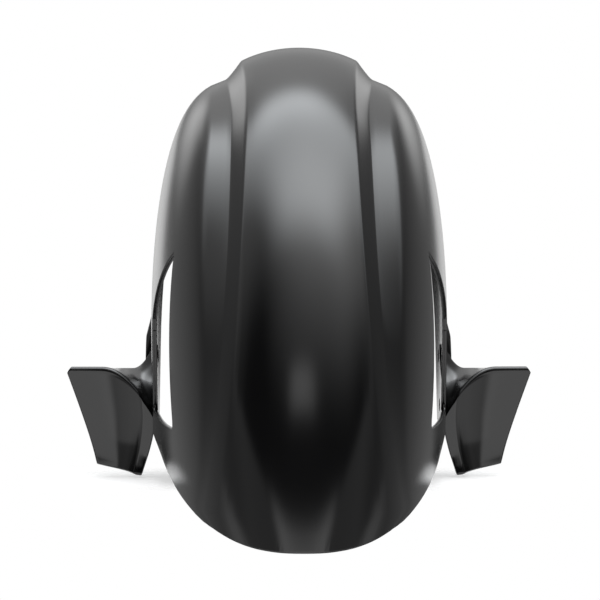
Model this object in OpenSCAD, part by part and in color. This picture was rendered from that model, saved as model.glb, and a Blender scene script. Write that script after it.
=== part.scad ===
// Front mudguard of a road motorcycle: one moulded shell over a 17 inch wheel.
// +Z is up and the front of the mudguard looks along -Y. It stands on its two lips and on the feet
// of its fork shields, at z = 0, and y = 0 is above the wheel's axle.

/* [Arch] */
// Radius of the crown line about the wheel's axle
crown_r = 325; // [310:1:345]
// Angle from the top of the arch to each lip, in degrees
lip_angle = 72; // [68:0.5:75]
// Thickness of the moulded wall
wall = 2.5; // [2:0.1:3.5]

/* [Section at the top of the arch] */
// Half of the width between the side walls, outside
side_half = 79; // [72:0.5:90]
// Height of the rounded shoulder, from its top down to where the side is upright
shoulder_h = 135; // [110:1:150]
// Half of the raised crown's width, out to the groove at its foot
crown_half = 38.8; // [34:0.2:46]
// Distance from the middle to the edge where the flat shoulder turns down
shoulder_edge = 46.5; // [43:0.5:52]
// Height of the raised crown over the shoulders, at its middle
crown_rise = 15; // [8:0.5:18]

/* [Plan] */
// Share of the width that is left at the front lip
front_taper = 0.71; // [0.62:0.01:0.8]
// Share of the width that is left at the rear lip
rear_taper = 0.8; // [0.7:0.01:0.95]
// Half width of the raised crown where it is narrowest, ahead of the top
crown_waist = 34; // [30:0.5:38]
// Half width of the raised crown at the front lip
crown_flare = 48; // [42:0.5:52]
// Angle that the rounded front lip takes up, in degrees
front_lip_arc = 4.6; // [3:0.1:7]
// Angle that the rounded rear lip takes up, in degrees
rear_lip_arc = 6; // [3:0.1:9]

/* [Lower edges] */
// Height of the front half's lower edge above the ground
skirt_z = 23; // [18:0.5:28]
// Depth of the side walls behind the fork, below the crown
rear_depth = 62; // [50:1:68]

/* [Windows] */
// Height of the window's sill at its rear end
window_z = 37; // [34:0.5:44]
// How much higher the sill is at its front end
window_sill_rise = 6; // [0:0.5:9]
// Distance from the axle's plane forward to the front end of the sill
window_front = 200; // [170:1:210]
// Distance from the axle's plane forward to the rear end of the sill
window_back = 42; // [40:1:60]
// Height of the window at its front point
window_h = 81; // [66:1:84]
// Height of the window at its rear end
window_rear_h = 48; // [40:1:60]
// Lean of the window's front end from upright, in degrees
window_front_lean = 26; // [18:0.5:34]
// Lean of the window's rear end from upright, in degrees
window_rear_lean = 17; // [8:0.5:24]
// Radius of the window's corners
window_corner = 3; // [2:0.5:7]

/* [Mounting panels] */
// Rake of the fork legs from upright, in degrees
fork_rake = 24; // [20:0.5:28]
// Distance from the axle's plane back to the panel's lower rear corner
panel_back = 38; // [32:1:46]
// Radius of the corner between the panel and the rear side wall
panel_fillet = 14; // [6:1:20]
// Height that each mounting pad stands proud
pad_h = 3.6; // [2:0.1:5]
// Width of a pad, square to the fork leg
pad_w = 28; // [24:1:32]
// Length of a pad, along the fork leg
pad_l = 62; // [56:1:72]
// Length of the slope at a pad's upper end
pad_slope = 16; // [8:1:20]
// Distance between a pad's two bolt holes
hole_pitch = 28; // [22:1:32]
// Diameter of each bolt hole
hole_d = 7; // [5:0.5:9]

/* [Fork shields] */
// Distance from the middle to the shield's outer upper corner
shield_half = 123; // [116:0.5:132]
// Distance from the middle to the shield's outer lower corner
shield_foot_half = 105.5; // [100:0.5:114]
// Distance from the middle to the shield's inner lower corner
shield_inner_half = 84; // [82:0.5:88]
// Height of the shield's top
shield_h = 55; // [50:1:60]
// Depth of the shield's roof, front to back
shield_roof = 28; // [20:1:32]
// Distance from the axle's plane forward to the shield's face
shield_front = 17; // [14:1:22]
// How far the ridge beside the body stands forward of the shield's face
shield_ridge = 9; // [5:0.5:12]
// How far the crease under the roof dips where it meets the body
crease_dip = 12.5; // [8:0.5:14]
// Height that the shield's outer lower corner stands off the ground
foot_lift = 4.5; // [2:0.5:8]
// Height of the point where the shield's inner edge leaves the body
shield_gap_z = 30; // [24:1:34]

/* [Hidden] */

// The axle is under the ground, where it puts the lips' inner edges on z = 0
axle_z = -(crown_r - wall) * cos(lip_angle);
front_corner = lip_angle - front_lip_arc;
rear_corner = lip_angle - rear_lip_arc;
// Rows from lip to lip, and columns over half of the crown, with one on its brow, and over a side
rows = 40;
crown_brow = 0.79;
crown_steps = [0, 0.22, 0.44, 0.62, crown_brow, 0.86, 0.92, 0.97, 1];
crown_cols = len(crown_steps);
side_cols = 10;
side_spacing = 0.9;
cols = crown_cols + side_cols;
// Exponents of the rounded outline of a lip in plan, and of how fast it fades into the arch
lip_round = 2.65;
lip_fade = 4;

// Helpers
function mix(a, b, t) = a + (b - a) * t;
function clamp01(t) = min(1, max(0, t));
function ease(t) = let (c = clamp01(t)) c * c * (3 - 2 * c);
function unit(v) = v / norm(v);

// How the width tapers: widest just behind the top, part of the loss even and the rest near the lips
widest = 6;
taper_soft = 0.1;
taper_even = 0.52;
taper_hook = 4;
function taper(phi) = let (
    t = (phi - widest) / lip_angle,
    loss = 1 - (phi < widest ? front_taper : rear_taper),
    even = (sqrt(t * t + taper_soft * taper_soft) - taper_soft)
) 1 - loss * mix(pow(t, taper_hook), even, taper_even);
function half_w(phi) = side_half * taper(phi);

// How much of a change from the top of the arch to a lip has taken place
lip_lag = 3;
function to_lip(phi) = pow(abs(phi) / lip_angle, lip_lag);

// Exponent of the rounded shoulder: square at the top of the arch, round at the lips
top_power = 5;
lip_power = 2.5;
function power(phi) = mix(top_power, lip_power, to_lip(phi));

// The raised crown: its foot's half width, its rise, and its profile across, a dome that ends in a
// sharp brow over a sloping step
waist_angle = 24;
flare_lag = 5;
brow_rise = 0.573;
step_fade = 1.25;
function waist_x(phi) = mix(crown_half, crown_waist, ease(-phi / waist_angle));
function foot_x(phi) = phi < 0
    ? mix(waist_x(phi), crown_flare, pow(-phi / front_corner, flare_lag))
    : mix(crown_half, crown_half * rear_taper, ease(phi / rear_corner));
function rise(phi) = crown_rise * (1 - to_lip(phi));
function crown_shape(c) = c < crown_brow
    ? 1 - (1 - brow_rise) * pow(c / crown_brow, 2)
    : brow_rise * pow((1 - c) / (1 - crown_brow), step_fade);

// The shoulder and side: u runs from 0 at the middle to 1 where the side is upright, and on down
function shoulder_x(u, phi) = let (p = power(phi))
    half_w(phi) * (u < 1 ? pow(sin(90 * pow(u, p / 2)), 2 / p) : 1);
function shoulder_drop(u, phi) = let (p = power(phi))
    u < 1 ? shoulder_h * (1 - cos(90 * pow(u, p / 2))) : shoulder_h * (1 + (u - 1) * PI * p / 4);
function u_of_drop(d, phi) = let (p = power(phi))
    d < shoulder_h ? pow(acos(1 - d / shoulder_h) / 90, 2 / p) : 1 + (d / shoulder_h - 1) * 4 / PI / p;
function u_of_x(x, phi) = let (p = power(phi))
    pow(asin(pow(min(1, x / half_w(phi)), p / 2)) / 90, 2 / p);

// Depth of the lower edge below the crown: a level skirt in front, then a shallower wall behind the
// fork with some depth to spare for the cut under it
skirt_curl = 6.3;
tail_curl = 5.5;
tail_spare = 4;
tail_start = 16;
tail_blend = 22;
function skirt_depth(phi) =
    crown_r - (skirt_z * (1 - pow(abs(phi) / lip_angle, skirt_curl)) - axle_z) / cos(phi);
function tail_depth(phi) = (rear_depth + tail_spare) * (1 - pow(phi / lip_angle, tail_curl));
function depth(phi) = phi < tail_start
    ? skirt_depth(phi)
    : mix(skirt_depth(tail_start), tail_depth(phi), ease((phi - tail_start) / tail_blend));
function edge_u(phi) = u_of_drop(max(0, depth(phi) - rise(phi)), phi);

// A point of the outer surface
function skin(phi, u, side) = let (
    x = shoulder_x(u, phi),
    r = crown_r - shoulder_drop(u, phi) - rise(phi) * (1 - crown_shape(clamp01(x / foot_x(phi))))
) [side * x, r * sin(phi), axle_z + r * cos(phi)];

// The grid over the skin: columns close together on the crown's step, then a flat strip out to the
// shoulder's edge, and the side. The first and last rows are on the lips
foot_limit = 0.85;
strip_limit = 0.93;
strip_least = 4;
function strip_x(phi) = max(shoulder_edge, foot_x(phi) + strip_least);
function share_of_x(x, limit, phi) = min(u_of_x(x, phi) / edge_u(phi), limit);
function col_share(j, phi) = j < crown_cols
    ? crown_steps[j] * share_of_x(foot_x(phi), foot_limit, phi)
    : mix(share_of_x(strip_x(phi), strip_limit, phi), 1, pow((j - crown_cols) / side_cols, side_spacing));
function row_phi(i) = mix(-front_corner, rear_corner, i / rows);
function grid_point(i, j) = let (
    edge = row_phi(i),
    share = col_share(abs(j), edge),
    bow = 1 - pow(share, lip_round),
    front = front_lip_arc * pow(1 - i / rows, lip_fade),
    rear = rear_lip_arc * pow(i / rows, lip_fade)
) skin(edge + bow * (rear - front), share * edge_u(edge), j < 0 ? -1 : 1);
function skin_grid() = [for (i = [0 : rows]) [for (j = [-cols : cols]) grid_point(i, j)]];

// A sheet of even thickness behind a grid of points
module sheet(g, t) {
    ni = len(g) - 1;
    nj = len(g[0]) - 1;
    size = (ni + 1) * (nj + 1);
    function normal(i, j) = unit(cross(
        g[min(ni, i + 1)][j] - g[max(0, i - 1)][j],
        g[i][min(nj, j + 1)] - g[i][max(0, j - 1)]));
    function at(i, j) = i * (nj + 1) + j;
    front = [for (i = [0 : ni]) for (j = [0 : nj]) g[i][j]];
    back = [for (i = [0 : ni]) for (j = [0 : nj]) g[i][j] + t * normal(i, j)];
    cells = [for (i = [0 : ni - 1]) for (j = [0 : nj - 1])
        [at(i, j), at(i, j + 1), at(i + 1, j + 1), at(i + 1, j)]];
    rim = concat(
        [for (j = [0 : nj]) at(0, j)],
        [for (i = [1 : ni]) at(i, nj)],
        [for (j = [nj - 1 : -1 : 0]) at(ni, j)],
        [for (i = [ni - 1 : -1 : 1]) at(i, 0)]);
    polyhedron(points = concat(front, back), faces = concat(
        [for (c = cells) for (k = [1, 2]) [c[0], c[k + 1], c[k]]],
        [for (c = cells) for (k = [1, 2]) [c[0] + size, c[k] + size, c[k + 1] + size]],
        [for (k = [0 : len(rim) - 1]) let (a = rim[k], b = rim[(k + 1) % len(rim)])
            for (f = [[a, b, a + size], [b, b + size, a + size]]) f]));
}

// The moulded arch with its side walls, before its openings are cut
module arch() {
    sheet(skin_grid(), wall);
}

// Half width of the side wall's outer face at a place below the shoulder
function side_x(y, z) = half_w(atan2(y, z - axle_z));

// A profile in the side view, as a solid that reaches through both side walls
module through_sides() {
    rotate([90, 0, 90]) linear_extrude(4 * side_half, center = true) children();
}

// The window, its ends leaning towards each other over a sill that rises to the front
module window_outline() {
    front_z = window_z + window_sill_rise;
    offset(r = window_corner, $fn = 24) offset(delta = -window_corner) polygon([
        [-window_front, front_z],
        [-window_back, window_z],
        [-window_back - window_rear_h * tan(window_rear_lean), window_z + window_rear_h],
        [-window_front + window_h * tan(window_front_lean), front_z + window_h]]);
}

// Angle at which the panel's rear edge meets a circle about the axle
function panel_top_angle(r) =
    fork_rake + asin((panel_back * cos(fork_rake) - (skirt_z - axle_z) * sin(fork_rake)) / r);

// The room behind the fork legs, up to the shallow rear side wall
under = 60;
tail_steps = 16;
tail_reach = 62;
module tail_outline() {
    r = crown_r - rear_depth;
    first = panel_top_angle(r);
    offset(r = panel_fillet, $fn = 32) offset(delta = -panel_fillet) polygon(concat(
        [[panel_back - (skirt_z + under) * tan(fork_rake), -under]],
        [for (k = [0 : tail_steps]) let (a = mix(first, tail_reach, k / tail_steps))
            [r * sin(a), axle_z + r * cos(a)]],
        [[r * sin(tail_reach), -under]]));
}

// Places its children on a pad's middle, with their second axis along the fork leg
pad_edge = 4;
pad_corner = 6;
module on_pad() {
    start = [panel_back - (pad_w / 2 + pad_edge) / cos(fork_rake), skirt_z];
    middle = start + (pad_l / 2 + pad_edge / 2) * [sin(fork_rake), cos(fork_rake)];
    translate([0, middle.x, middle.y]) rotate([90 - fork_rake, 0, 0]) rotate([0, 90, 0]) children();
}

// A pad, rooted inside the wall's thickness, with a slope down to the wall at its upper end
pad_root = 0.7;
module pad() {
    root = side_half - pad_root * wall;
    top = side_half + pad_h;
    on_pad() intersection() {
        translate([0, 0, root]) linear_extrude(top - root)
            offset(r = pad_corner, $fn = 24)
                square([pad_w - 2 * pad_corner, pad_l - 2 * pad_corner], center = true);
        rotate([90, 0, 90]) linear_extrude(2 * pad_w, center = true) polygon([
            [-pad_l, 0], [pad_l / 2, 0], [pad_l / 2, side_half], [pad_l / 2 - pad_slope, top], [-pad_l, top]]);
    }
}

// The two bolt holes of each side, through both pads, in the middle of their flat part
module bolt_holes() {
    on_pad() for (end = [-1, 1]) translate([0, (end * hole_pitch - pad_slope) / 2, 0])
        cylinder(d = hole_d, h = 4 * side_half, center = true, $fn = 48);
}

// The fork shield, a grid of columns going outwards: a roof with a fillet up the body, a crease, and
// a scooped face whose ridge stands forward beside the body
shield_cols = [0, 0.06, 0.12, 0.18, 0.24, 0.32, 0.42, 0.54, 0.66, 0.78, 0.9, 1];
roof_rows = [0, 0.5];
face_rows = [0, 0.1, 0.25, 0.4, 0.55, 0.7, 0.85, 1];
root_fillet = 10;
ridge_at = 0.18;
ridge_hollow = 3;
flange_back = 6;
crease_root = 84.6;
crease_run = 19.4;
outer_curve = 1.12;
foot_curve = 1.5;
function root_x(y, z) = side_x(y, z) - wall / 2;
function shield_out_x(z) =
    mix(shield_foot_half, shield_half, pow(max(0, z - foot_lift) / (shield_h - foot_lift), outer_curve));
function shield_in_x(y, z) = z < shield_gap_z
    ? mix(root_x(y, z), shield_inner_half, sqrt(1 - z / shield_gap_z))
    : root_x(y, z);
function crease_z(x) = shield_h - crease_dip * pow(max(0, 1 - (x - crease_root) / crease_run), 2);
function roof_z(x) = shield_h + root_fillet * pow(max(0, 1 - (x - side_half) / root_fillet), 2);
function ridge_y(c) = -shield_front + (c < ridge_at
    ? mix(flange_back, -shield_ridge, c / ridge_at)
    : -shield_ridge * pow(1 - (c - ridge_at) / (1 - ridge_at), ridge_hollow));
function face_point(c, v) = let (
    y = ridge_y(c),
    top_x = mix(root_x(y, shield_h), shield_half, c),
    z = mix(crease_z(top_x), foot_lift * pow(c, foot_curve), v),
    x = mix(shield_in_x(y, z), shield_out_x(z), c)
) [v == 0 ? top_x : x, y, z];
function roof_point(c, t) = let (
    y = shield_roof - shield_front,
    x = mix(root_x(y, shield_h), shield_half, c)
) mix([x, y, roof_z(x)], face_point(c, 0), t);
function shield_grid() = [for (c = shield_cols) concat(
    [for (t = roof_rows) roof_point(c, t)],
    [for (v = face_rows) face_point(c, v)])];

module fork_shield() {
    sheet(shield_grid(), wall);
}

module both_sides() {
    children();
    mirror([1, 0, 0]) children();
}

module mudguard() color("#1c1d20") {
    difference() {
        union() {
            arch();
            both_sides() {
                pad();
                fork_shield();
            }
        }
        through_sides() window_outline();
        through_sides() tail_outline();
        bolt_holes();
    }
}

mudguard();
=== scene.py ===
"""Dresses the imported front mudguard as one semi-gloss black moulding in a white studio.

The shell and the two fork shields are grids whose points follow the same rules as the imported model,
only closer together. They get their wall, their rounded edges, their windows and their pads here, and
are fused into one piece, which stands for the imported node.
"""

import logging
import math
from dataclasses import dataclass
from enum import Enum
from typing import Callable, Sequence

import bpy
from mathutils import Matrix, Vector


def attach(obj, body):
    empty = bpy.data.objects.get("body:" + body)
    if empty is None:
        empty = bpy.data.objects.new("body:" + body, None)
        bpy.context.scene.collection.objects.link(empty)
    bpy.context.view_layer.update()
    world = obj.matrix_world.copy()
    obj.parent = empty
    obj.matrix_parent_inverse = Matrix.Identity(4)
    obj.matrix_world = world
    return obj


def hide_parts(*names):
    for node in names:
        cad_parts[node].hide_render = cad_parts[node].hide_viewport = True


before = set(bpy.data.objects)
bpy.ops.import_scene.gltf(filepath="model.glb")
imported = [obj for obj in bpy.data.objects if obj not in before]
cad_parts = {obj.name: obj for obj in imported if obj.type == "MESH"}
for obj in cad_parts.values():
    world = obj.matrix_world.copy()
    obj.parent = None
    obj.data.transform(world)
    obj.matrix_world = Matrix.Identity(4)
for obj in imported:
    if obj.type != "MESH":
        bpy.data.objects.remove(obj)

LOG = logging.getLogger("mudguard")
MM = 0.001
BODY = "root"
NODE = "mudguard"
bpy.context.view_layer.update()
SOLVERS = {"UNION": "MANIFOLD", "DIFFERENCE": "EXACT"}

Point = tuple[float, float, float]
Flat = tuple[float, float]


def mix(a: float, b: float, t: float) -> float:
    """Returns the value a share t of the way from a to b."""
    return a + (b - a) * t


def ease(t: float) -> float:
    """Returns a smooth step from 0 to 1 for t from 0 to 1."""
    c = min(1.0, max(0.0, t))
    return c * c * (3 - 2 * c)


def sin_deg(angle: float) -> float:
    """Returns the sine of an angle in degrees."""
    return math.sin(math.radians(angle))


def cos_deg(angle: float) -> float:
    """Returns the cosine of an angle in degrees."""
    return math.cos(math.radians(angle))


class Side(Enum):
    """The two sides of the mudguard, as signs of x."""

    LEFT = 1
    RIGHT = -1


@dataclass(frozen=True)
class ArchForm:
    """The rules of the arch's outer surface, in millimetres and degrees.

    An angle phi runs about the axle from the front lip, below zero, to the rear lip. A depth is
    measured from the crown line towards the axle.
    """

    crown_r: float = 325.0
    lip_angle: float = 72.0
    wall: float = 2.5
    side_half: float = 79.0
    shoulder_h: float = 135.0
    crown_half: float = 38.8
    shoulder_edge: float = 46.5
    crown_rise: float = 15.0
    front_taper: float = 0.71
    rear_taper: float = 0.8
    crown_waist: float = 34.0
    crown_flare: float = 48.0
    front_lip_arc: float = 4.6
    rear_lip_arc: float = 6.0
    skirt_z: float = 23.0
    rear_depth: float = 62.0
    widest: float = 6.0
    taper_soft: float = 0.1
    taper_even: float = 0.52
    taper_hook: float = 4.0
    lip_lag: float = 3.0
    top_power: float = 5.0
    lip_power: float = 2.5
    waist_angle: float = 24.0
    flare_lag: float = 5.0
    crown_brow: float = 0.79
    brow_rise: float = 0.573
    step_fade: float = 1.25
    brow_blur: float = 0.02
    skirt_curl: float = 6.3
    tail_curl: float = 5.5
    tail_spare: float = 4.0
    tail_start: float = 16.0
    tail_blend: float = 22.0
    foot_limit: float = 0.85
    strip_limit: float = 0.93
    strip_least: float = 4.0
    strip_lift: float = 1.6
    lift_fade: float = 12.0
    lift_from: float = 4.0
    lift_span: float = 18.0
    lip_round: float = 2.65
    lip_fade: float = 4.0

    @property
    def axle_z(self) -> float:
        """Height of the axle, under the ground."""
        return -(self.crown_r - self.wall) * cos_deg(self.lip_angle)

    @property
    def front_corner(self) -> float:
        """Angle at which the front lip meets the side's lower edge."""
        return self.lip_angle - self.front_lip_arc

    @property
    def rear_corner(self) -> float:
        """Angle at which the rear lip meets the side's lower edge."""
        return self.lip_angle - self.rear_lip_arc

    def half_width(self, phi: float) -> float:
        """Returns half of the width between the side walls at an angle."""
        t = (phi - self.widest) / self.lip_angle
        loss = 1 - (self.front_taper if phi < self.widest else self.rear_taper)
        even = math.hypot(t, self.taper_soft) - self.taper_soft
        return self.side_half * (1 - loss * mix(t**self.taper_hook, even, self.taper_even))

    def to_lip(self, phi: float) -> float:
        """Returns how much of a change from the top to a lip has taken place."""
        return (abs(phi) / self.lip_angle) ** self.lip_lag

    def power(self, phi: float) -> float:
        """Returns the exponent of the rounded shoulder."""
        return mix(self.top_power, self.lip_power, self.to_lip(phi))

    def foot_x(self, phi: float) -> float:
        """Returns the half width of the raised crown, out to the groove at its foot."""
        if phi < 0:
            waist = mix(self.crown_half, self.crown_waist, ease(-phi / self.waist_angle))
            return mix(waist, self.crown_flare, (-phi / self.front_corner) ** self.flare_lag)
        return mix(self.crown_half, self.crown_half * self.rear_taper, ease(phi / self.rear_corner))

    def rise(self, phi: float) -> float:
        """Returns the height of the raised crown over the shoulders."""
        return self.crown_rise * (1 - self.to_lip(phi))

    def crown_step(self, c: float) -> float:
        """Returns the crown's profile, 1 at its middle and 0 at its foot, before it is smoothed."""
        if abs(c) < self.crown_brow:
            return 1 - (1 - self.brow_rise) * (c / self.crown_brow) ** 2
        return self.brow_rise * (max(0.0, 1 - abs(c)) / (1 - self.crown_brow)) ** self.step_fade

    def crown_shape(self, c: float) -> float:
        """Returns the crown's profile with its brow and foot rounded over."""
        taps = 8
        steps = [(k + 0.5) / taps * 2 - 1 for k in range(taps)]
        return sum(self.crown_step(c + self.brow_blur * s) for s in steps) / taps

    def shoulder_x(self, u: float, phi: float) -> float:
        """Returns the half width at a share u of the shoulder, past 1 on the upright side."""
        p = self.power(phi)
        bend = sin_deg(90 * u ** (p / 2)) ** (2 / p) if u < 1 else 1.0
        return self.half_width(phi) * bend

    def shoulder_drop(self, u: float, phi: float) -> float:
        """Returns the depth of the shoulder below its top at a share u."""
        p = self.power(phi)
        if u < 1:
            return self.shoulder_h * (1 - cos_deg(90 * u ** (p / 2)))
        return self.shoulder_h * (1 + (u - 1) * math.pi * p / 4)

    def u_of_drop(self, drop: float, phi: float) -> float:
        """Returns the share u at which the shoulder has dropped so far."""
        p = self.power(phi)
        if drop < self.shoulder_h:
            return (math.degrees(math.acos(1 - drop / self.shoulder_h)) / 90) ** (2 / p)
        return 1 + (drop / self.shoulder_h - 1) * 4 / math.pi / p

    def u_of_x(self, x: float, phi: float) -> float:
        """Returns the share u at which the shoulder is so far from the middle."""
        p = self.power(phi)
        return (math.degrees(math.asin(min(1.0, x / self.half_width(phi)) ** (p / 2))) / 90) ** (2 / p)

    def skirt_depth(self, phi: float) -> float:
        """Returns the depth of the level lower edge in front of the fork."""
        level = self.skirt_z * (1 - (abs(phi) / self.lip_angle) ** self.skirt_curl)
        return self.crown_r - (level - self.axle_z) / cos_deg(phi)

    def depth(self, phi: float) -> float:
        """Returns the depth of the side wall's lower edge, before the tail is cut."""
        if phi < self.tail_start:
            return self.skirt_depth(phi)
        tail = (self.rear_depth + self.tail_spare) * (1 - (phi / self.lip_angle) ** self.tail_curl)
        return mix(self.skirt_depth(self.tail_start), tail, ease((phi - self.tail_start) / self.tail_blend))

    def edge_u(self, phi: float, inset: float = 0.0) -> float:
        """Returns the share u at the lower edge, moved up the wall by an inset."""
        return self.u_of_drop(max(0.0, self.depth(phi) - inset - self.rise(phi)), phi)

    def foot_share(self, phi: float, edge: float) -> float:
        """Returns the share of the way down to the edge's u at which the crown's foot lies."""
        return min(self.u_of_x(self.foot_x(phi), phi) / edge, self.foot_limit)

    def strip_share(self, phi: float, edge: float) -> float:
        """Returns the share at which the flat strip beside the crown turns down into the side."""
        return min(self.u_of_x(self.strip_x(phi), phi) / edge, self.strip_limit)

    def strip_x(self, phi: float) -> float:
        """Returns the half width at which the flat strip beside the crown turns down."""
        return max(self.shoulder_edge, self.foot_x(phi) + self.strip_least)

    def lift(self, x: float, phi: float) -> float:
        """Returns how far the strip's outer edge stands up in the front half, which makes it crisp."""
        foot, strip = self.foot_x(phi), self.strip_x(phi)
        share = (x - foot) / (strip - foot) if x < strip else 1 - ease((x - strip) / self.lift_fade)
        ahead = ease((-phi - self.lift_from) / self.lift_span) * (1 - self.to_lip(phi))
        return self.strip_lift * max(0.0, share) * ahead

    def point(self, phi: float, u: float, side: float) -> Point:
        """Returns a point of the outer surface, in millimetres."""
        x = self.shoulder_x(u, phi)
        fall = 1 - self.crown_shape(min(1 + self.brow_blur, x / self.foot_x(phi)))
        r = self.crown_r - self.shoulder_drop(u, phi) - self.rise(phi) * fall + self.lift(x, phi)
        return (side * x, r * sin_deg(phi), self.axle_z + r * cos_deg(phi))

    def side_x(self, y: float, z: float) -> float:
        """Returns the half width of the side wall's outer face below the shoulder."""
        return self.half_width(math.degrees(math.atan2(y, z - self.axle_z)))


def rounded(corners: Sequence[Flat], radii: Sequence[float], grow: float, steps: int = 8) -> list[Flat]:
    """Rounds the corners of a polygon after moving its edges outwards.

    Args:
        corners: the corners in order, turning left all the way.
        radii: the radius of each corner, 0 for a sharp one.
        grow: how far each edge moves outwards; a radius grows as much.
        steps: chords in each rounded corner.

    Returns:
        The points of the closed outline.
    """
    count = len(corners)
    shifted: list[Flat] = []
    directions: list[Flat] = []
    for k in range(count):
        (x0, y0), (x1, y1) = corners[k], corners[(k + 1) % count]
        length = math.hypot(x1 - x0, y1 - y0)
        dx, dy = (x1 - x0) / length, (y1 - y0) / length
        directions.append((dx, dy))
        shifted.append((x0 + grow * dy, y0 - grow * dx))
    outline: list[Flat] = []
    for k in range(count):
        (ax, ay), (bx, by) = directions[k - 1], directions[k]
        (px, py), (qx, qy) = shifted[k - 1], shifted[k]
        cross = ax * by - ay * bx
        if abs(cross) < 1e-3:
            outline.append((qx, qy))
            continue
        t = ((qx - px) * by - (qy - py) * bx) / cross
        corner = (px + t * ax, py + t * ay)
        if radii[k] <= 0:
            outline.append(corner)
            continue
        radius = radii[k] + grow
        turn = math.atan2(cross, ax * bx + ay * by)
        back = radius * math.tan(turn / 2)
        start = (corner[0] - back * ax, corner[1] - back * ay)
        centre = (start[0] - radius * ay, start[1] + radius * ax)
        first = math.atan2(start[1] - centre[1], start[0] - centre[0])
        for s in range(steps + 1):
            a = first + turn * s / steps
            outline.append((centre[0] + radius * math.cos(a), centre[1] + radius * math.sin(a)))
    return outline


def inside(place: Flat, outline: Sequence[Flat]) -> bool:
    """Returns whether a place lies inside a closed outline."""
    x, y = place
    found = False
    for k, (x1, y1) in enumerate(outline):
        x0, y0 = outline[k - 1]
        if (y0 > y) != (y1 > y) and x < x0 + (y - y0) / (y1 - y0) * (x1 - x0):
            found = not found
    return found


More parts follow.
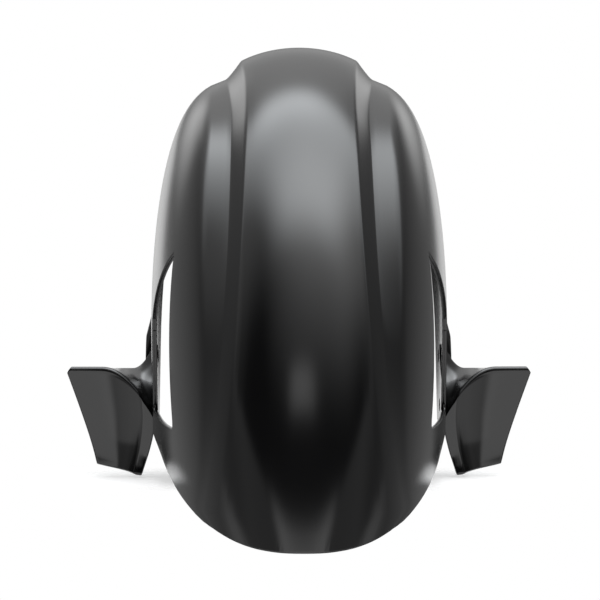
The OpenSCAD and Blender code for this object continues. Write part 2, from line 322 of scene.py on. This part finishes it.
class Workpiece:
    """A mesh object under work, with the steps that all pieces share."""

    def __init__(self, name: str) -> None:
        """Starts a piece from the object that an operator has just added.

        Args:
            name: the piece's name.
        """
        self.obj = bpy.context.object
        self.obj.name = name
        self.obj.data.name = name

    @staticmethod
    def clear_selection() -> None:
        """Leaves nothing selected, so that the next operator acts on its own piece."""
        bpy.ops.object.select_all(action="DESELECT")

    def activate(self) -> None:
        """Makes this the only selected object and the active one."""
        self.clear_selection()
        self.obj.select_set(True)
        bpy.context.view_layer.objects.active = self.obj

    def edit(self, mode: str, chosen: Callable[[object], bool]) -> None:
        """Enters edit mode with some elements selected.

        Args:
            mode: VERT, EDGE or FACE.
            chosen: says which elements of that kind are selected.
        """
        self.activate()
        mesh = self.obj.data
        for group in (mesh.vertices, mesh.edges, mesh.polygons):
            group.foreach_set("select", [False] * len(group))
        group = {"VERT": mesh.vertices, "EDGE": mesh.edges, "FACE": mesh.polygons}[mode]
        group.foreach_set("select", [bool(chosen(element)) for element in group])
        bpy.ops.object.mode_set(mode="EDIT")
        bpy.ops.mesh.select_mode(type=mode)

    def leave_edit(self) -> None:
        """Goes back to object mode."""
        bpy.ops.object.mode_set(mode="OBJECT")

    def place(self, where: Callable[[Vector], Point]) -> None:
        """Moves every vertex by a rule.

        Args:
            where: takes a vertex's place and returns its new one, in metres.
        """
        flat: list[float] = []
        for vertex in self.obj.data.vertices:
            flat.extend(where(vertex.co))
        self.obj.data.vertices.foreach_set("co", flat)
        self.obj.data.update()

    def modify(self, kind: str, **settings: object) -> None:
        """Adds a modifier and applies it.

        Args:
            kind: the modifier's type.
            **settings: the modifier's settings.
        """
        self.activate()
        modifier = self.obj.modifiers.new(kind.title(), kind)
        for key, value in settings.items():
            setattr(modifier, key, value)
        bpy.ops.object.modifier_apply(modifier=modifier.name)

    def merge_close(self, distance: float) -> None:
        """Merges vertices that lie closer than a distance in metres."""
        self.edit("VERT", lambda vertex: True)
        bpy.ops.mesh.remove_doubles(threshold=distance)
        self.leave_edit()

    def open_through(self, outline: Sequence[Flat], half: float, side: Side | None = None) -> None:
        """Cuts an opening through the sheet, straight across from side to side.

        Args:
            outline: the opening in the side view, (y, z) in millimetres.
            half: half of the distance over which the cut reaches, in millimetres.
            side: the only side to cut, or None for both.
        """
        sheet_faces = len(self.obj.data.polygons)
        self.edit("VERT", lambda vertex: False)
        bpy.ops.mesh.primitive_circle_add(vertices=len(outline), radius=MM)
        bpy.ops.object.mode_set(mode="OBJECT")
        mesh = self.obj.data
        ring = [vertex for vertex in mesh.vertices if vertex.select]
        low = -half if side is not Side.LEFT else 0.0
        high = half if side is not Side.RIGHT else 0.0
        for vertex, (y, z) in zip(ring, outline):
            vertex.co = (low * MM, y * MM, z * MM)
        bpy.ops.object.mode_set(mode="EDIT")
        bpy.ops.mesh.extrude_region_move(TRANSFORM_OT_translate={"value": ((high - low) * MM, 0, 0)})
        bpy.ops.object.mode_set(mode="OBJECT")
        cutter = [k >= sheet_faces for k in range(len(mesh.polygons))]
        mark = mesh.attributes.new("cutter", "INT", "FACE")
        mark.data.foreach_set("value", [int(c) for c in cutter])
        self.edit("FACE", lambda face: cutter[face.index])
        bpy.ops.mesh.intersect(mode="SELECT_UNSELECT", separate_mode="NONE", solver="EXACT")
        self.leave_edit()
        mesh = self.obj.data
        marks = [0] * len(mesh.polygons)
        mesh.attributes["cutter"].data.foreach_get("value", marks)

        def unwanted(face: object) -> bool:
            """Returns whether a face belongs to the cutter or lies in the opening."""
            x, y, z = face.center
            return bool(marks[face.index]) or (
                low < x / MM < high and inside((y / MM, z / MM), outline))

        self.edit("FACE", unwanted)
        bpy.ops.mesh.delete(type="FACE")
        self.leave_edit()
        mesh = self.obj.data
        mesh.attributes.remove(mesh.attributes["cutter"])

    def thicken(self, wall: float, rim: float) -> None:
        """Gives the sheet its wall, inwards, and rounds every free edge.

        Args:
            wall: thickness in millimetres.
            rim: radius of the edges, by which the rim also grows outwards, in millimetres.
        """
        outer = len(self.obj.data.vertices)
        self.modify("SOLIDIFY", thickness=wall * MM, offset=-1.0, use_even_offset=True,
                    thickness_clamp=0.0, use_rim=True)
        mesh = self.obj.data
        total = len(mesh.vertices)
        assert total == 2 * outer, (total, outer)
        across = mesh.attributes.new("across", "FLOAT", "POINT")
        across.data.foreach_set("value", [0.0 if k < outer else 1.0 for k in range(total)])
        inward = mesh.attributes.new("inward", "FLOAT_VECTOR", "POINT")
        flat: list[float] = []
        for k in range(total):
            k0 = k % outer
            flat.extend(mesh.vertices[k0 + outer].co - mesh.vertices[k0].co)
        inward.data.foreach_set("vector", flat)
        stations = self.rim_stations(wall, rim)
        cuts = len(stations)
        self.edit("EDGE", lambda edge: (edge.vertices[0] < outer) != (edge.vertices[1] < outer))
        bpy.ops.mesh.subdivide(number_cuts=cuts, quadcorner="INNERVERT")
        self.leave_edit()
        mesh = self.obj.data
        shares = mesh.attributes["across"].data
        ways = mesh.attributes["inward"].data
        moved: list[tuple[int, Vector]] = []
        for vertex in mesh.vertices:
            share = shares[vertex.index].value
            if 1e-4 < share < 1 - 1e-4:
                depth, bulge = stations[round(share * (cuts + 1)) - 1]
                way = Vector(ways[vertex.index].vector)
                shift = way * (depth / wall - share) + vertex.normal * bulge * MM
                moved.append((vertex.index, vertex.co + shift))
        for index, place in moved:
            mesh.vertices[index].co = place
        mesh.attributes.remove(mesh.attributes["across"])
        mesh.attributes.remove(mesh.attributes["inward"])
        mesh.update()

    @staticmethod
    def rim_stations(wall: float, rim: float) -> list[Flat]:
        """Returns the depth and bulge of each ring of a rounded rim, from the outer face inwards."""
        quarter = [(rim * (1 - cos_deg(a)), rim * sin_deg(a)) for a in (30, 60, 90)]
        return quarter + [(wall - depth, bulge) for depth, bulge in reversed(quarter)]


@dataclass
class SideOpenings:
    """The outlines that are cut through the side walls, in the side view."""

    form: ArchForm
    window_z: float = 37.0
    window_sill_rise: float = 6.0
    window_front: float = 200.0
    window_back: float = 42.0
    window_h: float = 81.0
    window_rear_h: float = 48.0
    window_front_lean: float = 26.0
    window_rear_lean: float = 17.0
    window_corner: float = 3.0
    fork_rake: float = 24.0
    panel_back: float = 38.0
    panel_fillet: float = 14.0
    under: float = 60.0
    tail_reach: float = 62.0
    tail_steps: int = 40

    def window(self, grow: float) -> list[Flat]:
        """Returns the window's outline, moved outwards by a rim's radius."""
        front_z = self.window_z + self.window_sill_rise
        rear_lean = math.tan(math.radians(self.window_rear_lean))
        front_lean = math.tan(math.radians(self.window_front_lean))
        corners = [
            (-self.window_front, front_z),
            (-self.window_back, self.window_z),
            (-self.window_back - self.window_rear_h * rear_lean, self.window_z + self.window_rear_h),
            (-self.window_front + self.window_h * front_lean, front_z + self.window_h),
        ]
        return rounded(corners, [self.window_corner] * len(corners), grow)

    def tail(self, grow: float) -> list[Flat]:
        """Returns the outline of the room behind the fork legs."""
        rake = math.radians(self.fork_rake)
        r = self.form.crown_r - self.form.rear_depth
        reach = self.panel_back * math.cos(rake) - (self.form.skirt_z - self.form.axle_z) * math.sin(rake)
        first = self.fork_rake + math.degrees(math.asin(reach / r))
        arc = [mix(first, self.tail_reach, k / self.tail_steps) for k in range(self.tail_steps + 1)]
        corners = [(self.panel_back - (self.form.skirt_z + self.under) * math.tan(rake), -self.under)]
        corners += [(r * sin_deg(a), self.form.axle_z + r * cos_deg(a)) for a in arc]
        corners.append((r * sin_deg(self.tail_reach), -self.under))
        corners.reverse()
        radii = [0.0] * len(corners)
        radii[-2] = self.panel_fillet
        return rounded(corners, radii, grow)


@dataclass
class Shell:
    """The arch with its side walls, windows and shallow tail."""

    form: ArchForm
    openings: SideOpenings
    rows: int = 126
    dome_cols: int = 14
    brow_cols: int = 6
    step_cols: int = 9
    strip_cols: int = 5
    side_cols: int = 32
    brow_half: float = 0.045
    rim: float = 0.7
    side_spacing: float = 0.85

    @property
    def cols(self) -> int:
        """Columns from the middle to a lower edge."""
        return self.dome_cols + self.brow_cols + self.step_cols + self.strip_cols + self.side_cols

    def crown_shares(self) -> list[float]:
        """Returns the columns over half of the crown, as shares of its width, close at the brow."""
        low, high = self.form.crown_brow - self.brow_half, self.form.crown_brow + self.brow_half
        dome = [low * k / self.dome_cols for k in range(self.dome_cols)]
        brow = [mix(low, high, k / self.brow_cols) for k in range(self.brow_cols)]
        return dome + brow + [mix(high, 1.0, k / self.step_cols) for k in range(self.step_cols + 1)]

    def row_point(self, i: int, share: float, edge: float, edge_u: float) -> Point:
        """Returns the point of the skin in a row, at a share of the way down to its edge."""
        form = self.form
        bow = 1 - share**form.lip_round
        front = form.front_lip_arc * (1 - i / self.rows) ** form.lip_fade
        rear = form.rear_lip_arc * (i / self.rows) ** form.lip_fade
        return form.point(edge + bow * (rear - front), share * edge_u, 1.0)

    def row(self, i: int) -> list[Point]:
        """Returns the points of the skin in row i, from the middle to the lower edge, in millimetres."""
        form = self.form
        inset = math.degrees(self.rim / form.crown_r)
        edge = mix(-form.front_corner + inset, form.rear_corner - inset, i / self.rows)
        edge_u = form.edge_u(edge, self.rim)
        foot, strip = form.foot_share(edge, edge_u), form.strip_share(edge, edge_u)
        crown = [self.row_point(i, foot * c, edge, edge_u) for c in self.crown_shares()]
        sides = [self.row_point(i, mix(strip, 1.0, (k / self.side_cols) ** self.side_spacing), edge, edge_u)
                 for k in range(self.side_cols + 1)]
        inner, outer = Vector(crown[-1]), Vector(sides[0])
        between = [tuple(inner.lerp(outer, k / self.strip_cols)) for k in range(1, self.strip_cols)]
        return crown + between + sides

    def build(self) -> Workpiece:
        """Models the shell and returns it."""
        cols = self.cols
        skin = [self.row(i) for i in range(self.rows + 1)]
        Workpiece.clear_selection()
        bpy.ops.mesh.primitive_grid_add(x_subdivisions=2 * cols, y_subdivisions=self.rows, size=1)
        piece = Workpiece("Mudguard")

        def where(co: Vector) -> Point:
            """Returns a grid vertex's place on the skin."""
            j = round(co.x * 2 * cols)
            i = round((co.y + 0.5) * self.rows)
            x, y, z = skin[i][abs(j)]
            return (math.copysign(x, j) * MM, y * MM, z * MM)

        piece.place(where)
        reach = 2 * self.form.side_half
        for side in Side:
            piece.open_through(self.openings.window(self.rim), reach, side)
        piece.open_through(self.openings.tail(self.rim), reach)
        piece.merge_close(0.12 * MM)
        piece.thicken(self.form.wall, self.rim)
        return piece


@dataclass
class ForkShield:
    """The wing beside the body that shields a fork leg's foot: a roof over a scooped face."""

    form: ArchForm
    half: float = 123.0
    foot_half: float = 105.5
    inner_half: float = 84.0
    height: float = 57.4
    roof: float = 28.0
    front: float = 17.0
    ridge: float = 11.0
    crease_dip: float = 12.5
    foot_lift: float = 4.5
    gap_z: float = 34.0
    gap_curve: float = 1.5
    root_fillet: float = 10.0
    ridge_at: float = 0.18
    scoop_power: float = 4.0
    foot_rise: float = 2.6
    roof_fall: float = 3.2
    crease_soft: float = 4.0
    flare: float = 3.0
    flare_from: float = 0.68
    crease_root: float = 84.6
    crease_run: float = 19.4
    outer_curve: float = 1.12
    foot_curve: float = 1.5
    columns: int = 48
    roof_rows: int = 10
    crease_rows: int = 8
    face_rows: int = 34
    row_spacing: float = 1.4
    corner: float = 3.0
    rim: float = 0.7

    def root_x(self, y: float, z: float) -> float:
        """Returns the place of the root, in the middle of the body's wall."""
        return self.form.side_x(y, z) - self.form.wall / 2

    def outer_x(self, z: float) -> float:
        """Returns the place of the shield's outer edge at a height."""
        share = max(0.0, z - self.foot_lift) / (self.height - self.foot_lift)
        up = min(1.0, max(0.0, 1 - (self.height - z) / self.corner))
        rounding = self.corner * (1 - math.sqrt(1 - up * up))
        return mix(self.foot_half, self.half, share**self.outer_curve) - rounding

    def inner_x(self, y: float, z: float) -> float:
        """Returns the place of the shield's inner edge, which leaves the body below the gap's top."""
        root = self.root_x(y, z)
        if z < self.gap_z:
            return mix(root, self.inner_half, (1 - z / self.gap_z) ** self.gap_curve)
        return root

    def crease_z(self, x: float) -> float:
        """Returns the height of the crease under the roof."""
        return self.height - self.crease_dip * max(0.0, 1 - (x - self.crease_root) / self.crease_run) ** 2

    def roof_z(self, x: float) -> float:
        """Returns the height of the roof, with its fillet up the body."""
        near = max(0.0, 1 - (x - self.form.side_half) / self.root_fillet)
        return self.height + self.root_fillet * near**2

    def ridge_y(self, c: float) -> float:
        """Returns how far back the face lies at a share c of the way outwards."""
        if c < self.ridge_at:
            return -self.front - self.ridge
        return -self.front - self.ridge * (1 - (c - self.ridge_at) / (1 - self.ridge_at)) ** self.scoop_power

    def face_point(self, c: float, v: float) -> Point:
        """Returns a point of the face, c outwards and v downwards."""
        y = self.ridge_y(c)
        top_x = mix(self.root_x(y, self.height), self.outer_x(self.height), c)
        z = mix(self.crease_z(top_x), self.foot_rise + self.foot_lift * c**self.foot_curve, v)
        x = mix(self.inner_x(y, z), self.outer_x(z), c)
        x = mix(top_x, x, ease(v * self.face_rows))
        flare = self.flare * max(0.0, (v - self.flare_from) / (1 - self.flare_from)) ** 2
        return (x, y - flare, z)

    def roof_point(self, c: float, t: float) -> Point:
        """Returns a point of the roof, c outwards and t from its back edge to the crease."""
        back_y = self.roof - self.front
        x = mix(self.root_x(back_y, self.height), self.outer_x(self.height), c)
        fx, fy, fz = self.face_point(c, 0)
        return (mix(x, fx, t), mix(back_y, fy, t), mix(self.roof_z(x) - self.roof_fall, fz, t))

    def crease_shares(self) -> Flat:
        """Returns the shares of the roof and of the face that the rounded crease takes."""
        return (self.crease_soft / self.roof, self.crease_soft / self.height)

    def crease_point(self, c: float, t: float) -> Point:
        """Returns a point of the rounded crease, c outwards and t from the roof to the face."""
        back, low = self.crease_shares()
        before, edge, after = (Vector(p) for p in (
            self.roof_point(c, 1 - back), self.face_point(c, 0), self.face_point(c, low)))
        return tuple(before.lerp(edge, t).lerp(edge.lerp(after, t), t))

    def build(self, side: Side) -> Workpiece:
        """Models the shield of one side and returns it."""
        rows = self.roof_rows + self.crease_rows + self.face_rows
        back, low = self.crease_shares()
        Workpiece.clear_selection()
        bpy.ops.mesh.primitive_grid_add(x_subdivisions=self.columns, y_subdivisions=rows, size=1)
        piece = Workpiece(f"Fork_shield_{side.name.lower()}")

        def where(co: Vector) -> Point:
            """Returns a grid vertex's place on the shield."""
            c = co.x + 0.5
            row = round((0.5 - co.y) * rows)
            below = row - self.roof_rows - self.crease_rows
            if row <= self.roof_rows:
                x, y, z = self.roof_point(c, (1 - back) * row / self.roof_rows)
            elif below <= 0:
                x, y, z = self.crease_point(c, 1 + below / self.crease_rows)
            else:
                x, y, z = self.face_point(c, mix(low, 1.0, (below / self.face_rows) ** self.row_spacing))
            return (side.value * x * MM, y * MM, z * MM)

        piece.place(where)
        if side is Side.RIGHT:
            piece.edit("FACE", lambda face: True)
            bpy.ops.mesh.flip_normals()
            piece.leave_edit()
        piece.thicken(self.form.wall, self.rim)
        return piece


class Socket:
    """A shader socket, or a number, that Python's operators turn into Math nodes."""

    def __init__(self, tree: bpy.types.NodeTree, value: object) -> None:
        """Wraps an output socket or a number of a node tree."""
        self.tree = tree
        self.value = value

    def math(self, operation: str, *others: object) -> "Socket":
        """Returns any Math node's result for this and further values."""
        return node(self.tree, "ShaderNodeMath", {"operation": operation}, dict(enumerate((self, *others))))

    def __add__(self, other: object) -> "Socket":
        """Returns the sum."""
        return self.math("ADD", other)

    __radd__ = __add__

    def __mul__(self, other: object) -> "Socket":
        """Returns the product."""
        return self.math("MULTIPLY", other)

    __rmul__ = __mul__

    def __sub__(self, other: object) -> "Socket":
        """Returns this less the other."""
        return self.math("SUBTRACT", other)

    def __rsub__(self, other: object) -> "Socket":
        """Returns the other less this."""
        return self * -1.0 + other

    def __truediv__(self, other: object) -> "Socket":
        """Returns the quotient."""
        return self.math("DIVIDE", other)

    def __abs__(self) -> "Socket":
        """Returns the absolute value."""
        return self.math("ABSOLUTE")

    def step(self, low: float, high: float) -> "Socket":
        """Returns a smooth step from 0 at low to 1 at high."""
        return node(self.tree, "ShaderNodeMapRange", {"interpolation_type": "SMOOTHSTEP"},
                    {"Value": self, "From Min": low, "From Max": high})

    def larger(self, other: object) -> "Socket":
        """Returns the larger of the two."""
        return self.math("MAXIMUM", other)


def node(tree: bpy.types.NodeTree, kind: str, settings: dict[str, object],
         inputs: dict[object, object], output: object = 0) -> Socket:
    """Adds a node to a tree.

    Args:
        tree: the node tree.
        kind: the node's type.
        settings: properties, set first.
        inputs: a value or a Socket for each input, by name or index.
        output: the name or index of the output to return.

    Returns:
        The output, wrapped.
    """
    added = tree.nodes.new(kind)
    for key, value in settings.items():
        setattr(added, key, value)
    for key, value in inputs.items():
        link_or_set(tree, added.inputs[key], value)
    return Socket(tree, added.outputs[output]) if added.outputs else Socket(tree, added)


def link_or_set(tree: bpy.types.NodeTree, target: bpy.types.NodeSocket, value: object) -> None:
    """Links a Socket to a node's input, or sets the input to a plain value."""
    if isinstance(value, Socket) and isinstance(value.value, bpy.types.NodeSocket):
        tree.links.new(value.value, target)
    elif isinstance(value, Socket):
        target.default_value = value.value
    else:
        target.default_value = value


@dataclass(frozen=True)
class BlackPlastic:
    """Semi-gloss black ABS with a faint mould texture and slightly uneven gloss."""

    name: str = "black_abs"
    colour: tuple[float, float, float] = (0.0012, 0.0012, 0.0014)
    dusty: tuple[float, float, float] = (0.0022, 0.0022, 0.0024)
    roughness: float = 0.17
    roughness_spread: float = 0.05
    ior: float = 1.5
    cloud_scale: float = 9.0
    grain_scale: float = 1500.0
    grain_height: float = 0.000004
    grain_gloss: float = 0.04
    wave_scale: float = 18.0
    wave_height: float = 0.00003

    def make(self) -> bpy.types.Material:
        """Builds the material and returns it."""
        material = bpy.data.materials.new(self.name)
        material.use_nodes = True
        tree = material.node_tree
        tree.nodes.clear()
        place = node(tree, "ShaderNodeTexCoord", {}, {}, "Object")
        cloud = node(tree, "ShaderNodeTexNoise", {}, {
            "Vector": place, "Scale": self.cloud_scale, "Detail": 4.0, "Roughness": 0.6}, 0)
        fine = node(tree, "ShaderNodeTexNoise", {}, {
            "Vector": place, "Scale": self.grain_scale, "Detail": 2.0, "Roughness": 0.7}, 0)
        wave = node(tree, "ShaderNodeTexNoise", {}, {
            "Vector": place, "Scale": self.wave_scale, "Detail": 1.0, "Roughness": 0.4}, 0)
        dust = cloud.step(0.35, 0.75)
        colour = node(tree, "ShaderNodeMix", {"data_type": "RGBA"}, {
            0: dust, 6: (*self.colour, 1.0), 7: (*self.dusty, 1.0)}, 2)
        roughness = (cloud - 0.5) * self.roughness_spread + (fine - 0.5) * self.grain_gloss + self.roughness
        height = fine * self.grain_height + wave * self.wave_height
        bump = node(tree, "ShaderNodeBump", {}, {"Strength": 1.0, "Distance": 1.0, "Height": height})
        shader = node(tree, "ShaderNodeBsdfPrincipled", {}, {
            "Base Color": colour, "Roughness": roughness, "IOR": self.ior, "Normal": bump})
        node(tree, "ShaderNodeOutputMaterial", {}, {"Surface": shader})
        return material


@dataclass(frozen=True)
class StudioFloor:
    """A sheet of white paper on the floor, which keeps the object's soft shadow."""

    name: str = "studio_floor"
    half_width: float = 0.145
    front: float = 0.095
    back: float = 0.02
    fade: float = 0.05
    colour: tuple[float, float, float] = (0.95, 0.95, 0.95)
    lift: float = 0.5

    def make(self) -> bpy.types.Object:
        """Builds the floor and returns it."""
        material = bpy.data.materials.new(self.name)
        material.use_nodes = True
        tree = material.node_tree
        tree.nodes.clear()
        rays = [node(tree, "ShaderNodeLightPath", {}, {}, f"Is {kind} Ray")
                for kind in ("Camera", "Glossy", "Transmission")]
        shown = (rays[0] + rays[1] + rays[2]) * self.lift
        place = node(tree, "ShaderNodeTexCoord", {}, {}, "Object")
        x, y = (node(tree, "ShaderNodeSeparateXYZ", {}, {"Vector": place}, axis) for axis in "XY")
        cover = ((1 - abs(x).step(self.half_width - self.fade, self.half_width))
                 * y.step(-self.front, self.fade - self.front)
                 * (1 - y.step(self.back - self.fade, self.back)))
        shader = node(tree, "ShaderNodeBsdfPrincipled", {}, {
            "Base Color": (*self.colour, 1.0), "Roughness": 1.0, "Specular IOR Level": 0.0, "Alpha": cover,
            "Emission Color": (1.0, 1.0, 1.0, 1.0), "Emission Strength": shown})
        node(tree, "ShaderNodeOutputMaterial", {}, {"Surface": shader})
        Workpiece.clear_selection()
        bpy.ops.mesh.primitive_plane_add(size=1)
        floor = bpy.context.object
        for corner in floor.data.vertices:
            y = self.back if corner.co.y > 0 else -self.front
            corner.co = (2 * corner.co.x * self.half_width, y, 0.0)
        floor.name = "Floor"
        floor.data.materials.append(material)
        return floor


@dataclass(frozen=True)
class Studio:
    """The white room: floor, world and the camera at the photograph's angle."""

    camera_place: Point = (-12.0, -1609.0, 190.8)
    yaw: float = 0.449
    pitch: float = -3.535
    focal_px: float = 3026.1
    image_px: float = 600.0
    sensor: float = 36.0
    horizon: float = 0.2
    dome: float = 0.55
    haze: float = 0.3
    panels: float = 0.7
    low: float = 0.6
    crest: float = 1.1
    left_side: float = 0.15
    ceiling: float = 0.04
    window: float = 1.6
    fill: float = 0.35
    softbox: float = 2.5
    softbox_rise: float = 1.2
    softbox_colour: tuple[float, float, float] = (0.93, 0.97, 1.0)
    spill: float = 1.7
    seam: float = 1.8

    def make_world(self) -> None:
        """Builds the room as a sky: a pale dome, a softbox overhead and a dark ceiling behind the camera.

        Heights are angles over the top, from 0 at the backdrop's horizon to 180 behind the camera.
        """
        world = bpy.data.worlds.new("Studio")
        bpy.context.scene.world = world
        world.use_nodes = True
        tree = world.node_tree
        tree.nodes.clear()
        way = node(tree, "ShaderNodeTexCoord", {}, {}, "Generated")
        across, ahead, up = (
            node(tree, "ShaderNodeSeparateXYZ", {}, {"Vector": way}, axis) for axis in "XYZ")
        over = up.math("ARCTAN2", ahead) * math.degrees(1)
        side = abs(across)
        dome = ((up.step(0.3, 0.75) * (self.dome - self.horizon) + self.horizon)
                * (1 - across * self.left_side))
        panels = (side.step(0.15, 0.3) * (1 - side.step(0.36, 0.47))
                  * (1 - (up + across * 0.2).step(0.22, 0.47)) * self.panels)
        haze = ahead.step(0.5, 0.8) * up.step(0.04, 0.2) * ((1 - side.step(0.22, 0.42)) * self.haze + panels)
        low = (1 - up.step(-0.05, 0.03)) * side.step(0.1, 0.8) * (1 - ahead.step(0.2, 0.6)) * self.low
        crest = (over.step(39.0, 46.0) * (1 - over.step(46.0, 62.0))
                 * (1 - abs(across + 0.08).step(0.1, 0.4)) * self.crest)
        front = (1 - side.step(0.35, 0.6)) * (self.window - self.fill) + self.fill
        window = (1 - up.step(0.46, 0.56)) * front + self.ceiling
        behind = ahead.step(-0.25, 0.2)
        backdrop = ahead.step(0.962, 0.978) * (1 - up.step(0.04, 0.07))
        room = ((dome + haze) * behind + window * (1 - behind)).larger(backdrop)
        width = 1.7 - over.step(50.0, 90.0) * 0.9
        beam = 1 - (abs(across - 0.05) / width).step(0.15, 0.5)
        softbox = (over.step(41.0, 50.0) * (1 - over.step(80.0, 95.0)) * beam
                   * (over.step(60.0, 80.0) * self.softbox_rise + self.softbox))
        spill = over.step(45.0, 85.0) * (1 - over.step(80.0, 132.0)) * (1 - abs(across - 0.2).step(0.1, 0.6))
        seam = (1 - side.step(0.03, 0.09)) * over.step(116.0, 120.0) * (1 - over.step(125.0, 128.0))
        white = node(tree, "ShaderNodeBackground", {}, {
            "Color": (1, 1, 1, 1), "Strength": room + low + spill * self.spill + seam * self.seam})
        cool = node(tree, "ShaderNodeBackground", {}, {
            "Color": (*self.softbox_colour, 1), "Strength": softbox + crest})
        shader = node(tree, "ShaderNodeAddShader", {}, {0: white, 1: cool})
        node(tree, "ShaderNodeOutputWorld", {}, {"Surface": shader})

    def make_camera(self) -> None:
        """Adds the camera where the photograph was taken from."""
        data = bpy.data.cameras.new("Camera")
        data.sensor_width = self.sensor
        data.lens = self.focal_px * self.sensor / self.image_px
        data.clip_end = 100.0
        camera = bpy.data.objects.new("Camera", data)
        camera.location = [c * MM for c in self.camera_place]
        camera.rotation_euler = (math.radians(90 + self.pitch), 0.0, math.radians(-self.yaw))
        bpy.context.scene.collection.objects.link(camera)
        bpy.context.scene.camera = camera

    def make(self) -> None:
        """Builds the room and its camera."""
        floor = StudioFloor().make()
        self.make_world()
        self.make_camera()
        bpy.context.scene.view_settings.view_transform = "Standard"


@dataclass
class Pads:
    """The raised mounting pads and their bolt holes."""

    form: ArchForm
    openings: SideOpenings
    height: float = 3.6
    width: float = 28.0
    length: float = 62.0
    slope: float = 16.0
    corner: float = 6.0
    edge: float = 4.0
    root: float = 0.7
    soft: float = 0.6
    pitch: float = 28.0
    hole_r: float = 3.5

    @property
    def middle(self) -> Flat:
        """Returns the pad's middle in the side view."""
        rake = math.radians(self.openings.fork_rake)
        start_y = self.openings.panel_back - (self.width / 2 + self.edge) / math.cos(rake)
        along = (self.length + self.edge) / 2
        return (start_y + along * math.sin(rake), self.form.skirt_z + along * math.cos(rake))

    def turned(self, across: float, along: float) -> Flat:
        """Returns the side-view place of a point given across and along the fork leg."""
        rake = math.radians(self.openings.fork_rake)
        y0, z0 = self.middle
        return (y0 + across * math.cos(rake) + along * math.sin(rake),
                z0 - across * math.sin(rake) + along * math.cos(rake))

    def build(self, side: Side) -> Workpiece:
        """Models the pad of one side and returns it."""
        inner = self.form.side_half - self.root * self.form.wall
        outer = self.form.side_half + self.height
        Workpiece.clear_selection()
        bpy.ops.mesh.primitive_cube_add(size=1)
        piece = Workpiece(f"Pad_{side.name.lower()}")

        def where(co: Vector) -> Point:
            """Returns a cube corner's place on the pad."""
            x = mix(inner, outer, co.z + 0.5)
            sloping = (x - self.form.side_half) / self.height * self.slope if co.y > 0 else 0.0
            y, z = self.turned(co.x * self.width, co.y * self.length - sloping)
            return (side.value * x * MM, y * MM, z * MM)

        upright = [edge.index for edge in piece.obj.data.edges
                   if abs(piece.obj.data.vertices[edge.vertices[0]].co.z
                          - piece.obj.data.vertices[edge.vertices[1]].co.z) > 0.5]
        piece.place(where)
        piece.edit("EDGE", lambda edge: edge.index in upright)
        bpy.ops.mesh.bevel(offset=self.corner * MM, segments=8)
        bpy.ops.mesh.select_all(action="SELECT")
        bpy.ops.mesh.normals_make_consistent(inside=False)
        piece.leave_edit()
        face_x = side.value * outer * MM
        piece.edit("FACE", lambda face: abs(face.center.x - face_x) < 0.1 * MM)
        bpy.ops.mesh.region_to_loop()
        bpy.ops.mesh.bevel(offset=self.soft * MM, segments=3)
        piece.leave_edit()
        return piece

    def drill(self) -> list[Workpiece]:
        """Adds the cutters of the bolt holes, each through both sides, and returns them."""
        drills = []
        for end in (-1, 1):
            y, z = self.turned(0.0, (end * self.pitch - self.slope) / 2)
            Workpiece.clear_selection()
            bpy.ops.mesh.primitive_cylinder_add(
                vertices=48, radius=self.hole_r * MM, depth=4 * self.form.side_half * MM,
                location=(0, y * MM, z * MM), rotation=(0, math.pi / 2, 0))
            drills.append(Workpiece("Drill"))
        return drills


class Mudguard:
    """The whole moulding, fused from its shell, pads and fork shields."""

    smooth_angle: float = 38.0
    weld: float = 0.01

    def __init__(self) -> None:
        """Sets up the form that all its pieces share."""
        self.form = ArchForm()
        self.openings = SideOpenings(self.form)
        self.shell = Shell(self.form, self.openings)
        self.shield = ForkShield(self.form)
        self.pads = Pads(self.form, self.openings)

    def build(self) -> bpy.types.Object:
        """Models the moulding, dresses it and returns it."""
        body = self.shell.build()
        LOG.info("shell: %d faces", len(body.obj.data.polygons))
        joined = [self.shield.build(side) for side in Side] + [self.pads.build(side) for side in Side]
        for piece in joined:
            LOG.info("%s: %d faces", piece.obj.name, len(piece.obj.data.polygons))
            self.combine(body, piece, "UNION")
        for drill in self.pads.drill():
            self.combine(body, drill, "DIFFERENCE")
        body.merge_close(self.weld * MM)
        material = BlackPlastic().make()
        body.obj.data.materials.clear()
        body.obj.data.materials.append(material)
        body.activate()
        bpy.ops.object.shade_smooth_by_angle(angle=math.radians(self.smooth_angle))
        body.modify("WEIGHTED_NORMAL", keep_sharp=True)
        LOG.info("moulding: %d faces", len(body.obj.data.polygons))
        return body.obj

    @staticmethod
    def combine(body: Workpiece, other: Workpiece, operation: str) -> None:
        """Fuses another piece with the body, or cuts it out of it, and removes it.

        Args:
            body: the piece that stays.
            other: the piece that is fused or cut out.
            operation: UNION or DIFFERENCE.
        """
        body.modify("BOOLEAN", operation=operation, object=other.obj, solver=SOLVERS[operation])
        LOG.info("%s with %s: %d faces", operation.lower(), other.obj.name, len(body.obj.data.polygons))
        bpy.data.objects.remove(other.obj)


def main() -> None:
    """Builds the studio and the mudguard."""
    logging.basicConfig(level=logging.INFO, format="%(message)s")
    Studio().make()
    moulding = Mudguard().build()
    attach(moulding, BODY)
    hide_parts(NODE)


if __name__ == "__main__":
    main()
